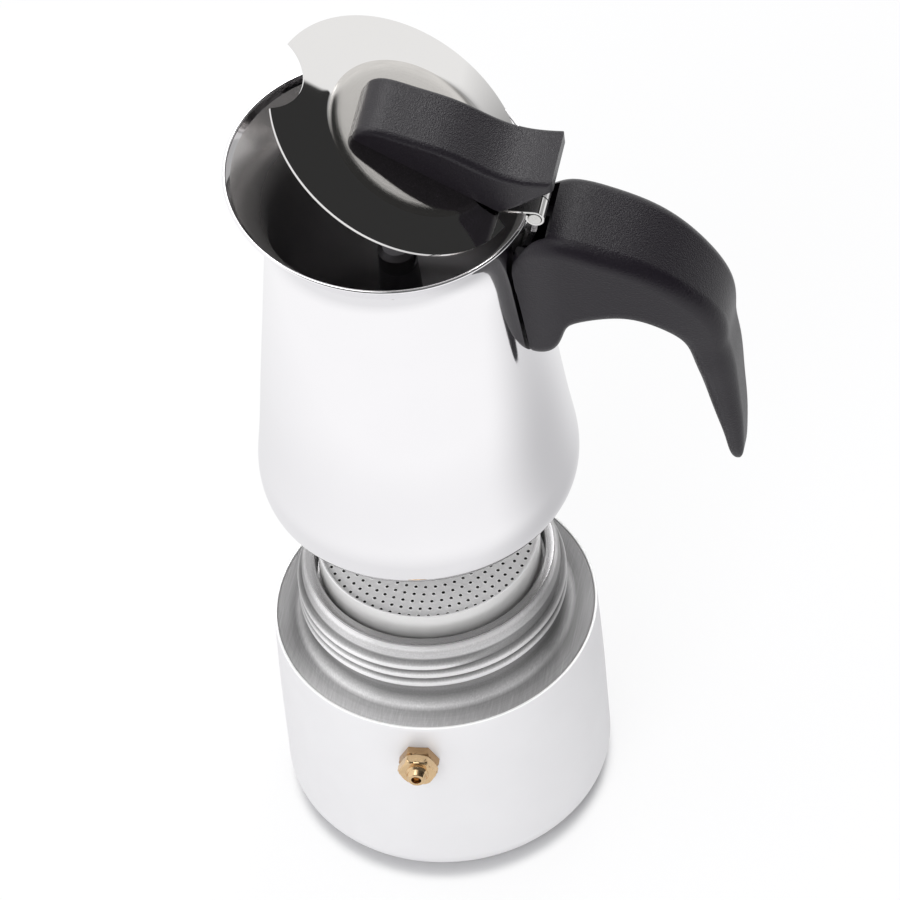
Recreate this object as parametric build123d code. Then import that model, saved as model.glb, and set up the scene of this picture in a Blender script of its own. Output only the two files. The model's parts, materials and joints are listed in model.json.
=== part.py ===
"""Stove-top moka pot, taken apart as for filling: boiler, funnel, filter cup, gasket, and a jug with a hinged lid.

Millimetres, +Z up, origin at the centre of the boiler's underside. The handle points along +X, the pouring lip
along -X. The jug hangs above its seat and the lid stands ajar. Every piece is written to parts/ under its own name.
"""

import os
from math import asin, atan2, cos, hypot, radians, sin

from build123d import *

os.makedirs("parts", exist_ok=True)

# ---------------------------------------------------------------- driving dimensions
SHEET = 0.8  # steel sheet of shells, funnel and lid
FIT = 0.06  # radial running clearance

BOILER_R = 49.0  # shoulder edge
BOILER_H = 69.0  # underside to shoulder edge
BOILER_BULGE = 0.6  # the wall stands out this much at half height
BOILER_CORNER = 7.9

NECK_R = 39.0  # outside of the plain neck
NECK_WALL = 1.8
NECK_H = 24.5  # neck top above the shoulder
NECK_MOUTH_R = 36.2
THREAD_PITCH = 3.8
THREAD_TURNS = 2.9
THREAD_BEAD = 1.6  # radius of the rolled thread
THREAD_START = 7.35  # lowest thread crest above the shoulder

FUNNEL_R = 34.7  # inside of the basket's upper part
FUNNEL_STEP_R = 32.6  # inside below the ledge
FUNNEL_STEP_Z = 86.0
FUNNEL_FLANGE_R = 37.6
FUNNEL_BOTTOM_Z = 70.5
STEM_R = 4.5
STEM_BOTTOM_Z = 6.0

CUP_R = 33.5  # filter cup outside
CUP_TOP_Z = 102.3
CUP_PLATE_DROP = 2.6  # plate below the cup's edge
HOLE_R = 0.55
HOLE_PITCH = 2.8
HOLE_RINGS = 11

JUG_SEATED_Z = 72.0  # jug's bottom edge when screwed home
JUG_LIFT = 58.5  # how far it hangs above that
JUG_Z = JUG_SEATED_Z + JUG_LIFT
JUG_EDGE_R = 43.0
JUG_BELLY_R = 47.6
JUG_CONE = [(46.9, 18.0), (38.5, 96.4)]  # straight stretch of the wall, radius and height
RING_R = 41.4  # inside of the threaded ring
FLOOR_Z = 25.3
RISER_R = (8.6, 5.7)  # outside at foot and top
RISER_Z = (37.0, 92.0)

RIM_R = 44.9
RIM_Z = 127.9
RIM_SHIFT = 2.8  # rim centre towards the pouring lip
RIM_SLANT = 5.5  # degrees, pouring lip high

HINGE_X = 44.0
HINGE_Z = 126.3  # above the jug's bottom edge
LID_OPEN = 31.4  # degrees above level as it stands
LID_R = 40.2
LID_CENTRE = 44.6  # from the hinge axis
LID_DROP = 4.1  # the sheet's edge below the hinge axis
LID_FALL = 1.0  # the brim falls this much from the raised middle to the edge
BOSS_R = 25.5  # raised middle
BOSS_CENTRE = 40.5
BOSS_RISE = 0.6
POUR_NOTCH = (90.3, 14.9)  # centre from the hinge axis, radius
KNUCKLE_R = 2.8
PIN_R = 1.85
TAB_HALF = 9.5
GAP_HALF = 2.9  # room for the bracket's knuckle
KNOB_HALF = 11.0
KNOB_ROUND = 1.9  # along the knob's upper edges
HANDLE_ROUND = 5.0
HANDLE_STANDOFF = 0.8  # from the jug's wall

VALVE_ANGLE = -85.8  # degrees about Z
VALVE_Z = 55.0
VALVE_FLATS = 10.5
SHANK_R = 3.5


# ---------------------------------------------------------------- helpers
def turned(*points):
    """Solid of revolution about Z from a closed outline of (radius, height) points."""
    return revolve(Plane.XZ * make_face(Polyline(*points, close=True)), Axis.Z)


def turned_edges(*edges):
    """Solid of revolution about Z from edges that close an outline in radius and height."""
    return revolve(Plane.XZ * make_face(list(edges)), Axis.Z)


def disc(radius, low, high):
    return Pos(0, 0, low) * Cylinder(radius, high - low, align=(Align.CENTER, Align.CENTER, Align.MIN))


def tube(outer, inner, low, high):
    return disc(outer, low, high) - disc(inner, low - 1, high + 1)


def hexagon(flats, low, high):
    face = RegularPolygon(flats / 2, 6, major_radius=False)
    return extrude(Pos(0, 0, low) * face, high - low)


def block(low, high):
    """Box between two corners."""
    size = [b - a for a, b in zip(low, high)]
    return Pos(*low) * Box(*size, align=(Align.MIN, Align.MIN, Align.MIN))


def prism(points, half_width):
    """Outline in X and Z, as thick as twice half_width along Y."""
    face = Plane.XZ * make_face(Polyline(*points, close=True))
    return extrude(face, half_width, both=True)


def perforated(radius, low, high, hole_r, pitch, rings):
    """Plate with rings of holes, six more in each ring than in the last."""
    holes = [Circle(hole_r)]
    for ring in range(1, rings + 1):
        turn = 30 * (ring % 2) / ring
        holes += [loc * Circle(hole_r) for loc in PolarLocations(ring * pitch, 6 * ring, start_angle=turn)]
    return extrude(Pos(0, 0, low) * (Circle(radius) - holes), high - low)


def thread(radius, bead, pitch, turns, start):
    """Rounded helical rib with round ends."""
    path = Pos(0, 0, start) * Helix(pitch, pitch * turns, radius)
    rib = sweep(Plane(origin=path @ 0, z_dir=path % 0) * Circle(bead), path=path, is_frenet=True)
    ends = [Pos(*(path @ end)) * Sphere(bead) for end in (0, 1)]
    return rib, *ends


def in_jug(shape):
    return Pos(0, 0, JUG_Z) * shape


def at_lid(shape):
    """From the lid's own axes (X from the hinge to the pouring lip, Z its normal) to where it stands."""
    tilt = radians(LID_OPEN)
    plane = Plane(
        origin=(HINGE_X, 0, JUG_Z + HINGE_Z),
        x_dir=(-cos(tilt), 0, sin(tilt)),
        z_dir=(sin(tilt), 0, cos(tilt)),
    )
    return plane.location * shape


def at_valve(shape):
    """From the valve's axes (Z outwards, 0 at the wall's outside) to its place on the boiler."""
    turn = radians(VALVE_ANGLE)
    reach = BOILER_R + BOILER_BULGE * 0.6
    plane = Plane(
        origin=(reach * cos(turn), reach * sin(turn), VALVE_Z),
        x_dir=(-sin(turn), cos(turn), 0),
        z_dir=(cos(turn), sin(turn), 0),
    )
    return plane.location * shape


def save(name, shape):
    export_step(shape, f"parts/{name}.step")


# ---------------------------------------------------------------- boiler
def boiler_body(inset):
    """Filled shape of the boiler's outside, or of its inside when inset by the sheet's thickness."""
    r = BOILER_R - inset
    corner = BOILER_CORNER - inset
    low = inset
    start = (r + BOILER_BULGE - corner, low)
    end = (r + BOILER_BULGE, low + corner)
    middle = (start[0] + corner * sin(radians(45)), low + corner * (1 - cos(radians(45))))
    return turned_edges(
        Line((0, low), start),
        ThreePointArc(start, middle, end),
        Spline(end, (r + BOILER_BULGE, BOILER_H * 0.5), (r, BOILER_H), tangents=[(0, 1), (-0.03, 1)]),
        Line((r, BOILER_H), (0, BOILER_H)),
        Line((0, BOILER_H), (0, low)),
    )


boiler_outside = boiler_body(0)
boiler_inside = boiler_body(SHEET) + disc(BOILER_R - SHEET, BOILER_H - 5, BOILER_H + 5)
boiler_shell = boiler_outside - boiler_inside - at_valve(disc(SHANK_R + 0.2, -4, 4))
save("boiler_shell", boiler_shell)

neck_top = BOILER_H + NECK_H
edge_r = BOILER_R - SHEET - 0.02
fillet_foot = (43.4, BOILER_H + 0.35)
fillet_head = (NECK_R, BOILER_H + 5.3)
bead_low = (NECK_R, neck_top - 3.2)
bead_top = (NECK_R - 1.5, neck_top)
boiler_shoulder = turned_edges(
    Line((edge_r, BOILER_H - 1.1), (edge_r, BOILER_H - 0.2)),
    Line((edge_r, BOILER_H - 0.2), fillet_foot),
    ThreePointArc(fillet_foot, (40.5, BOILER_H + 1.9), fillet_head),
    Line(fillet_head, bead_low),
    ThreePointArc(bead_low, (NECK_R - 0.45, neck_top - 0.95), bead_top),
    Line(bead_top, (NECK_MOUTH_R, neck_top)),
    Line((NECK_MOUTH_R, neck_top), (NECK_MOUTH_R, neck_top - 1.2)),
    Line((NECK_MOUTH_R, neck_top - 1.2), (NECK_R - NECK_WALL, neck_top - 2.2)),
    Line((NECK_R - NECK_WALL, neck_top - 2.2), (NECK_R - NECK_WALL, BOILER_H + 5.0)),
    Line((NECK_R - NECK_WALL, BOILER_H + 5.0), (41.5, BOILER_H - 0.6)),
    Line((41.5, BOILER_H - 0.6), (edge_r, BOILER_H - 1.1)),
)
for piece in thread(NECK_R + 0.05, THREAD_BEAD, THREAD_PITCH, THREAD_TURNS, BOILER_H + THREAD_START):
    boiler_shoulder += piece
save("boiler_shoulder", boiler_shoulder)

# ---------------------------------------------------------------- safety valve
collar_end = 2.55
hex_end = 5.8
nozzle_end = 8.4
bore_r = 1.5
chamber_r = 2.2
shank_end = -7.2

valve_collar = at_valve(hexagon(VALVE_FLATS, -0.6, collar_end) - disc(SHANK_R, -2, 4)) - boiler_outside
save("valve_collar", valve_collar)

valve_body = hexagon(VALVE_FLATS, collar_end + 0.05, hex_end) + disc(SHANK_R, shank_end, 3)
valve_body += Pos(0, 0, hex_end) * Cone(3.1, 2.5, nozzle_end - hex_end, align=(Align.CENTER, Align.CENTER, Align.MIN))
valve_body -= turned(
    (0, nozzle_end + 1),
    (bore_r, nozzle_end + 1),
    (bore_r, 1.6),
    (chamber_r, 0.9),
    (chamber_r, shank_end - 1),
    (0, shank_end - 1),
)
save("valve_body", at_valve(valve_body))

valve_seal = at_valve(tube(6.0, SHANK_R, -2.4, 0)) & boiler_inside
save("valve_seal", valve_seal)
save("valve_nut", at_valve(hexagon(11.0, -5.4, -2.4) - disc(SHANK_R, -9, 0)))
save("valve_plug", at_valve(tube(chamber_r, 0.9, -7.0, -6.0)))

poppet_back = -0.5
valve_poppet = turned(
    (0, poppet_back),
    (chamber_r - 0.2, poppet_back),
    (chamber_r - 0.2, 0.6),
    (0.9, 1.7),
    (0.9, hex_end),
    (0, hex_end),
)
save("valve_poppet", at_valve(valve_poppet))

spring_wire = 0.22
spring_r = 1.5
spring_low = -6.0 + spring_wire
spring_high = poppet_back - spring_wire
spring_path = Pos(0, 0, spring_low) * Helix((spring_high - spring_low) / 5, spring_high - spring_low, spring_r)
spring_start = Plane(origin=spring_path @ 0, z_dir=spring_path % 0)
save("valve_spring", at_valve(sweep(spring_start * Circle(spring_wire), path=spring_path, is_frenet=True)))

# ---------------------------------------------------------------- funnel
flange_low = neck_top + 0.05
flange_top = flange_low + SHEET - 0.05
basket_r = FUNNEL_R + SHEET
step_r = FUNNEL_STEP_R + SHEET
funnel_basket = turned(
    (FUNNEL_FLANGE_R, flange_low),
    (FUNNEL_FLANGE_R, flange_top),
    (FUNNEL_R, flange_top),
    (FUNNEL_R, FUNNEL_STEP_Z),
    (FUNNEL_STEP_R, FUNNEL_STEP_Z),
    (FUNNEL_STEP_R, FUNNEL_BOTTOM_Z),
    (step_r, FUNNEL_BOTTOM_Z),
    (step_r, FUNNEL_STEP_Z - SHEET),
    (basket_r, FUNNEL_STEP_Z - SHEET),
    (basket_r, flange_low),
)
save("funnel_basket", funnel_basket)
save("funnel_grid", perforated(FUNNEL_STEP_R, FUNNEL_BOTTOM_Z, FUNNEL_BOTTOM_Z + SHEET, 0.9, 4.4, 6))

cone_low = 61.0
funnel_stem = turned(
    (step_r, FUNNEL_BOTTOM_Z),
    (step_r, FUNNEL_BOTTOM_Z - SHEET),
    (STEM_R, cone_low - SHEET),
    (STEM_R, STEM_BOTTOM_Z),
    (STEM_R - SHEET, STEM_BOTTOM_Z),
    (STEM_R - SHEET, cone_low),
    (FUNNEL_STEP_R - 1.0, FUNNEL_BOTTOM_Z),
)
save("funnel_stem", funnel_stem)

# ---------------------------------------------------------------- filter cup
cup_low = FUNNEL_STEP_Z + 0.05
plate_z = CUP_TOP_Z - CUP_PLATE_DROP
filter_cup = tube(CUP_R, CUP_R - SHEET, cup_low, CUP_TOP_Z)
filter_cup += perforated(CUP_R - SHEET / 2, plate_z - SHEET, plate_z, HOLE_R, HOLE_PITCH, HOLE_RINGS)
save("filter_cup", filter_cup)

# ---------------------------------------------------------------- gasket
gasket_low = FLOOR_Z - 2.9
gasket_high = FLOOR_Z - 0.1
gasket = in_jug(tube(40.6, 34.0, gasket_low, gasket_high))
save("gasket", fillet(gasket.edges().filter_by(GeomType.CIRCLE), 0.6))


# ---------------------------------------------------------------- jug
def jug_body(inset):
    """Filled shape of the jug's outside below its mouth, or of its inside."""
    foot = (JUG_EDGE_R - inset, 0)
    low, high = [(r - inset, z) for r, z in JUG_CONE]
    slope = (high[0] - low[0], high[1] - low[1])
    return turned_edges(
        Line((0, 0), foot),
        Spline(foot, (45.7 - inset, 2.6), (JUG_BELLY_R - inset, 9.6), low, tangents=[(1, 0.45), slope]),
        Line(low, high),
        Line(high, (0, high[1])),
        Line((0, high[1]), (0, 0)),
    )


def mouth(inset):
    """Filled shape of the flaring mouth: circles that grow, shift and tilt towards the pouring lip."""
    rings = [(JUG_CONE[1][1], JUG_CONE[1][0], 0.0), (102.4, 37.85, 0.0), (109.4, 37.15, 0.0), (115.4, 37.5, 0.2)]
    rings += [(120.9, 39.6, 0.55), (124.9, 42.3, 0.85), (RIM_Z, RIM_R, 1.0)]
    faces = []
    for z, radius, share in rings:
        place = Pos(-RIM_SHIFT * share, 0, z) * Rot(0, RIM_SLANT * share, 0)
        faces.append(place * Circle(radius - inset))
    return loft(faces)


jug_outside = jug_body(0) + mouth(0)
jug_shell = (jug_body(0) - jug_body(SHEET)) + (mouth(0) - mouth(SHEET))
rim_place = Pos(-RIM_SHIFT, 0, RIM_Z) * Rot(0, RIM_SLANT, 0)
jug_shell += rim_place * Torus(RIM_R - 0.45, 0.55)
save("jug_shell", in_jug(jug_shell))

ring_out = JUG_EDGE_R - SHEET - 0.05
thread_ring = tube(ring_out, RING_R, 0.05, FLOOR_Z)
for piece in thread(RING_R + 0.45, 0.9, THREAD_PITCH, 2.2, 3.0):
    thread_ring += piece & disc(ring_out, 0.05, FLOOR_Z)
save("thread_ring", in_jug(thread_ring))

cone_slope = (JUG_CONE[1][0] - JUG_CONE[0][0]) / (JUG_CONE[1][1] - JUG_CONE[0][1])
floor_top = FLOOR_Z + SHEET
floor_r = JUG_CONE[0][0] + cone_slope * (floor_top - JUG_CONE[0][1]) - SHEET - 0.02
pocket_r = CUP_R + 0.9
pocket_z = CUP_TOP_Z - JUG_SEATED_Z + 0.9
jug_floor = turned(
    (floor_r, FLOOR_Z),
    (floor_r, floor_top),
    (pocket_r + SHEET, floor_top),
    (pocket_r + SHEET, pocket_z + SHEET),
    (RISER_R[0], RISER_Z[0]),
    (RISER_R[0] - SHEET, RISER_Z[0]),
    (RISER_R[0] - SHEET, RISER_Z[0] - 1.4),
    (pocket_r, pocket_z),
    (pocket_r, FLOOR_Z),
)
save("jug_floor", in_jug(jug_floor))

riser_bore = (RISER_R[0] - SHEET, RISER_R[1] - SHEET)
riser_tube = turned(
    (RISER_R[0], RISER_Z[0]),
    (RISER_R[1], RISER_Z[1]),
    (riser_bore[1], RISER_Z[1]),
    (riser_bore[0], RISER_Z[0]),
)
save("riser_tube", in_jug(riser_tube))

cap_low = RISER_Z[1]
cap_high = cap_low + 7.0
riser_cap = turned(
    (RISER_R[1], cap_low),
    (RISER_R[1], cap_high - 1.5),
    (RISER_R[1] - 1.5, cap_high),
    (0, cap_high),
    (0, cap_high - 1.2),
    (riser_bore[1], cap_high - 1.8),
    (riser_bore[1], cap_low),
)
slot_half = 2.2
riser_cap -= block((-RISER_R[1] - 1, -slot_half, cap_low + 1), (RISER_R[1] + 1, slot_half, cap_high - 2.2))
save("riser_cap", in_jug(riser_cap))

# ---------------------------------------------------------------- handle bracket
strap_half = 6.0
strap_low = 75.5
strap_top = 117.0
strap = prism(
    [
        (36, strap_low),
        (42.1, strap_low),
        (39.3, 103),
        (41.2, 112),
        (43.2, strap_top),
        (41.5, strap_top),
        (39.6, 112.6),
        (36, 103),
    ],
    strap_half,
)
strap -= jug_outside
strap_neck = prism([(41.5, strap_top - 0.4), (43.4, strap_top - 0.4), (46.0, HINGE_Z), (44.2, HINGE_Z)], GAP_HALF - 0.3)
hinge_turn = Pos(HINGE_X, 0, HINGE_Z) * Rot(90, 0, 0)
knuckle = hinge_turn * Cylinder(KNUCKLE_R, 2 * (GAP_HALF - 0.3))
handle_bracket = strap + strap_neck + knuckle - hinge_turn * Cylinder(PIN_R, 30)
screw_z = 79.0
nut_x = (42.15, 44.3)
handle_bracket -= Pos(42, 0, screw_z) * Rot(0, 90, 0) * Cylinder(2.3, 8)
save("handle_bracket", in_jug(handle_bracket))
save("hinge_pin", in_jug(hinge_turn * Cylinder(PIN_R, 2 * TAB_HALF + 0.4)))

# ---------------------------------------------------------------- handle
# lower point, upper point and width of each cross-section, from the root to the tip
HANDLE_SECTIONS = [
    ((36.0, 71.6), (36.0, 101.0), 23.2),
    ((39.0, 70.2), (38.8, 113.4), 24.2),
    ((42.6, 70.4), (42.6, 118.2), 26.0),
    ((46.2, 72.9), (46.2, 120.2), 28.2),
    ((49.4, 78.6), (49.9, 120.9), 29.8),
    ((51.5, 84.2), (53.2, 120.8), 30.3),
    ((55.4, 87.3), (57.6, 119.9), 30.6),
    ((63.0, 89.9), (64.4, 117.8), 30.6),
    ((71.0, 90.2), (74.9, 113.6), 29.8),
    ((78.6, 86.4), (86.0, 105.5), 27.6),
    ((83.3, 81.4), (93.6, 96.5), 24.8),
    ((85.8, 74.4), (97.4, 85.5), 21.9),
    ((88.3, 61.7), (98.7, 66.6), 18.8),
    ((90.7, 48.9), (99.2, 51.5), 15.3),
    ((93.0, 37.5), (99.4, 38.8), 12.2),
    ((94.3, 28.6), (99.0, 29.4), 9.4),
    ((95.1, 24.8), (98.5, 25.4), 7.2),
    ((96.1, 22.8), (97.7, 23.0), 4.4),
]


def handle_section(low, high, width):
    """Rounded rectangle from the low to the high point, width across."""
    tall = hypot(high[0] - low[0], high[1] - low[1])
    up = ((high[0] - low[0]) / tall, 0, (high[1] - low[1]) / tall)
    middle = ((low[0] + high[0]) / 2, 0, (low[1] + high[1]) / 2)
    corner = min(HANDLE_ROUND, 0.42 * tall, 0.42 * width)
    plane = Plane(origin=middle, x_dir=(0, 1, 0), z_dir=(up[2], 0, -up[0]))
    return plane * RectangleRounded(width, tall, corner)


recess_half = TAB_HALF + 1.4
handle = loft([handle_section(*section) for section in HANDLE_SECTIONS])
handle -= block((36, -strap_half - 0.4, strap_low - 0.5), (nut_x[1] + 0.2, strap_half + 0.4, 113))
handle -= block((36, -recess_half, 110.5), (47.3, recess_half, 125))
handle -= jug_body(-HANDLE_STANDOFF) + mouth(-HANDLE_STANDOFF)
screw_axis = Pos(0, 0, screw_z) * Rot(0, 90, 0)
handle -= screw_axis * disc(2.1, 40, 60)
handle -= screw_axis * disc(3.9, 46.6, 60)
save("handle", in_jug(handle))

handle_nut = block((nut_x[0], -3.5, screw_z - 3.5), (nut_x[1], 3.5, screw_z + 3.5)) - screw_axis * disc(2.0, 35, 60)
save("handle_nut", in_jug(handle_nut))
handle_screw = screw_axis * (disc(2.0, 41.9, 46.8) + disc(3.6, 46.65, 48.6))
handle_screw -= Pos(48.6, 0, screw_z) * Box(1.4, 7.4, 0.9)
save("handle_screw", in_jug(handle_screw))

# ---------------------------------------------------------------- lid, in its own axes
edge_top = -LID_DROP
edge_low = edge_top - SHEET
brim_top = edge_top + LID_FALL
boss_top = brim_top + BOSS_RISE


def cover(shift):
    """Filled shape under the lid's face: a brim that falls to the edge, and a raised round middle."""
    edge = Pos(LID_CENTRE, 0, edge_top + shift) * Circle(LID_R)
    step = Pos(BOSS_CENTRE, 0, brim_top + shift) * Circle(BOSS_R + 1.0)
    boss = Pos(BOSS_CENTRE, 0, boss_top + shift) * Circle(BOSS_R)
    return loft([edge, step], ruled=True) + loft([step, boss], ruled=True)


lid = cover(0) + Pos(LID_CENTRE, 0, 0) * disc(LID_R, edge_low, edge_top)
lid -= cover(-SHEET)
lid -= Pos(POUR_NOTCH[0], 0, 0) * disc(POUR_NOTCH[1], -9, 0)

# the tab climbs from the sheet and wraps round the pin
tab_start = (9.4, edge_top + 0.3 - SHEET / 2)
curl_r = KNUCKLE_R - 0.45
reach = hypot(*tab_start)
run = (reach**2 - curl_r**2) ** 0.5
heading = atan2(-tab_start[1], -tab_start[0]) - asin(curl_r / reach)
tab_end = (tab_start[0] + run * cos(heading), tab_start[1] + run * sin(heading))
across = (0.45 * sin(heading), -0.45 * cos(heading))
tab = prism(
    [
        (tab_start[0] - across[0], tab_start[1] - across[1]),
        (tab_start[0] + across[0], tab_start[1] + across[1]),
        (tab_end[0] + across[0], tab_end[1] + across[1]),
        (tab_end[0] - across[0], tab_end[1] - across[1]),
    ],
    TAB_HALF,
)
for side in (-1, 1):
    lid -= Pos(6.2, side * (TAB_HALF + 1.6), edge_top) * Box(6.6, 3.0, 4)
lid -= block((0, -TAB_HALF, edge_low - 1), (tab_start[0] - 0.5, TAB_HALF, 0))
curl = Rot(90, 0, 0) * Cylinder(KNUCKLE_R, 2 * TAB_HALF)
lid += tab + curl
lid -= Rot(90, 0, 0) * Cylinder(PIN_R + FIT, 40)
lid -= block((-4, -GAP_HALF, -4), (3.4, GAP_HALF, 4))

screw_places = [(BOSS_CENTRE - 8, 0), (BOSS_CENTRE + 8, 0)]
for x, y in screw_places:
    lid -= Pos(x, y, 0) * disc(1.9, -9, 0)
save("lid", at_lid(lid))

# ---------------------------------------------------------------- lid knob
knob_low = boss_top
knob_top = Spline(
    (58.2, -1.2),
    (57.4, 1.3),
    (55.4, 3.3),
    (51.6, 4.9),
    (46.4, 6.2),
    (41.0, 7.6),
    (35.4, 8.8),
    (29.4, 9.4),
    (23.0, 9.6),
    (17.0, 10.4),
    (11.4, 12.4),
    (6.8, 15.1),
    (3.6, 17.4),
)
knob_under = Spline((1.4, 13.9), (3.7, 8.2), (6.3, 2.4), (8.9, knob_low))
knob_outline = make_face(
    [
        knob_top,
        Line(knob_top @ 1, knob_under @ 0),
        knob_under,
        Line(knob_under @ 1, (58.0, knob_low)),
        Line((58.0, knob_low), knob_top @ 0),
    ]
)
lid_knob = extrude(Plane.XZ * knob_outline, KNOB_HALF, both=True)
ridges = [edge for edge in lid_knob.edges() if abs(abs(edge.center().Y) - KNOB_HALF) < 0.01 and edge.center().Z > 4]
lid_knob = fillet(ridges, KNOB_ROUND)
for x, y in screw_places:
    lid_knob -= Pos(x, y, 0) * disc(1.8, -9, knob_low + 6)
save("lid_knob", at_lid(lid_knob))

head_top = boss_top - SHEET
screws = []
for x, y in screw_places:
    screw = disc(1.8, head_top - 0.1, knob_low + 6) + disc(3.4, head_top - 1.9, head_top)
    screw -= Pos(0, 0, head_top - 1.9) * (Box(5.0, 0.9, 1.6) + Box(0.9, 5.0, 1.6))
    screws.append(Pos(x, y, 0) * screw)
save("knob_screws", at_lid(Compound(children=screws)))
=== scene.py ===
"""Stove-top moka pot, dressed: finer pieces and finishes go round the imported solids."""

import json
from math import acos, asin, atan2, cos, hypot, pi, radians, sin, tau

import bpy
import bmesh
import numpy as np
from mathutils import Matrix, Vector


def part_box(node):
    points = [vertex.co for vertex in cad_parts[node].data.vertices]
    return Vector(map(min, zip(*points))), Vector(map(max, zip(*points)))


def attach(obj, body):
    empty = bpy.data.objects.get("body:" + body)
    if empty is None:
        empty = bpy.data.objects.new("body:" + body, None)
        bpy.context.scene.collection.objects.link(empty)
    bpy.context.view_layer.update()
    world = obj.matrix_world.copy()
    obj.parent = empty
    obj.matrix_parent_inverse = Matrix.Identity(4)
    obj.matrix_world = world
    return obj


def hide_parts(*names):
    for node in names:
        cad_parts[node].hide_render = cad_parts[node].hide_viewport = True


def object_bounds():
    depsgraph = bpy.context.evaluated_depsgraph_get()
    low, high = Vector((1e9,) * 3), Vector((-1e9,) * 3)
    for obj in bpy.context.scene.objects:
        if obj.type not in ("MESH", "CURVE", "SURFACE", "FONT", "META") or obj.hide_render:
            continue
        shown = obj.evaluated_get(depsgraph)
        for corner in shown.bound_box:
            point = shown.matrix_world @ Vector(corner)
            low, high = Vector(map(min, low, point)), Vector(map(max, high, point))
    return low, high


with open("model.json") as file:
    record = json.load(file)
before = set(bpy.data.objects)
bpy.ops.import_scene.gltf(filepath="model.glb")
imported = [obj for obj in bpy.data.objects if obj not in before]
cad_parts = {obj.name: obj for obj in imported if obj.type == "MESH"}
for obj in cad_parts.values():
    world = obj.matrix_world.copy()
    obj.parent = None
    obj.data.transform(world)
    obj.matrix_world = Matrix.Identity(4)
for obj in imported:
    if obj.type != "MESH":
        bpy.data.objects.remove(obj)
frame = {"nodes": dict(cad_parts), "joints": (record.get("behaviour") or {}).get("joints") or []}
cad_low, cad_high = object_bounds()
parts = frame["nodes"]
joints = {joint["name"]: joint for joint in frame["joints"]}
scene = bpy.context.scene
MM = 0.001

# Lengths are in millimetres unless a comment says otherwise.
SHEET = 0.8
PLAY = 0.02  # between the boiler's wall and its shoulder
SHOULDER_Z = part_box("boiler_shell")[1].z / MM
NECK_TOP_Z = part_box("boiler_shoulder")[1].z / MM
NECK_R = 39.0
MOUTH_R = 36.2  # inside of the boiler's neck
BOILER_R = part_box("boiler_shoulder")[1].x / MM + SHEET + PLAY
FLANGE_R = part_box("funnel_basket")[1].x / MM
CUP_TOP_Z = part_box("filter_cup")[1].z / MM
CUP_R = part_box("filter_cup")[1].x / MM
JUG_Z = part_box("jug_shell")[0].z / MM
HINGE = Vector(joints["lid_hinge"]["pos_m"])
LID_OPEN = radians(31.4)
BOSS_CENTRE = 40.5  # raised middle of the lid, from the hinge axis
BOSS_AT = HINGE + Vector((-cos(LID_OPEN), 0, sin(LID_OPEN))) * BOSS_CENTRE * MM


# ---------------------------------------------------------------- mesh helpers
def add_object(name, mesh, body, material):
    """Put a mesh into the scene, riding on its body, with its finish."""
    obj = bpy.data.objects.new(name, mesh)
    scene.collection.objects.link(obj)
    mesh.materials.append(material)
    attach(obj, body)
    return obj


def mesh_from(name, points, faces, sharp, place=None):
    """Mesh from points in millimetres, smooth except where it turns by more than the sharp angle."""
    mesh = bpy.data.meshes.new(name)
    mesh.from_pydata([Vector(p) * MM for p in points], [], faces)
    work = bmesh.new()
    work.from_mesh(mesh)
    bmesh.ops.remove_doubles(work, verts=work.verts, dist=1e-7)
    bmesh.ops.recalc_face_normals(work, faces=work.faces)
    if place is not None:
        bmesh.ops.transform(work, matrix=place, verts=work.verts)
    work.to_mesh(mesh)
    work.free()
    mesh.shade_smooth()
    mesh.set_sharp_from_angle(angle=radians(sharp))
    return mesh


def ring_faces(rows, columns, closed_rows):
    """Quads between rows of points that each run round a full circle."""
    faces = []
    last = rows if closed_rows else rows - 1
    for i in range(last):
        j = (i + 1) % rows
        for k in range(columns):
            m = (k + 1) % columns
            faces.append((i * columns + k, i * columns + m, j * columns + m, j * columns + k))
    return faces


def rounded(corners):
    """Closed outline from corners (radius, height, fillet); each fillet is an arc of a few points."""
    steps = 5
    line = []
    count = len(corners)
    for i, (r, z, fillet) in enumerate(corners):
        here = np.array((r, z))
        to_last = np.array(corners[i - 1][:2]) - here
        to_next = np.array(corners[(i + 1) % count][:2]) - here
        to_last = to_last / np.linalg.norm(to_last)
        to_next = to_next / np.linalg.norm(to_next)
        half = acos(np.clip(to_last @ to_next, -1, 1)) / 2
        if fillet <= 0 or half > 1.55:
            line.append((r, z))
            continue
        cut = fillet / np.tan(half)
        middle = to_last + to_next
        centre = here + middle / np.linalg.norm(middle) * fillet / sin(half)
        first = here + to_last * cut - centre
        final = here + to_next * cut - centre
        turn = acos(np.clip(first @ final / fillet**2, -1, 1))
        for step in range(steps + 1):
            share = step / steps
            arm = (sin((1 - share) * turn) * first + sin(share * turn) * final) / sin(turn)
            line.append(tuple(centre + arm))
    return line


def curve_through(points, count):
    """Smooth line through points of any number of columns, evenly spaced along its length."""
    points = np.array(points, float)
    knots = np.concatenate([[0], np.cumsum(np.linalg.norm(np.diff(points[:, :2], axis=0), axis=1))])
    step = np.diff(knots)
    size = len(points)
    matrix = np.eye(size)
    right = np.zeros_like(points)
    for i in range(1, size - 1):
        matrix[i, i - 1 : i + 2] = step[i - 1], 2 * (step[i - 1] + step[i]), step[i]
        right[i] = 6 * ((points[i + 1] - points[i]) / step[i] - (points[i] - points[i - 1]) / step[i - 1])
    bend = np.linalg.solve(matrix, right)
    where = np.linspace(0, knots[-1], count)
    spans = np.clip(np.searchsorted(knots, where, side="right") - 1, 0, size - 2)
    out = []
    for at, i in zip(where, spans):
        h = step[i]
        a, b = (knots[i + 1] - at) / h, (at - knots[i]) / h
        bow = ((a**3 - a) * bend[i] + (b**3 - b) * bend[i + 1]) * h * h / 6
        out.append(a * points[i] + b * points[i + 1] + bow)
    return np.array(out)


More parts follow.
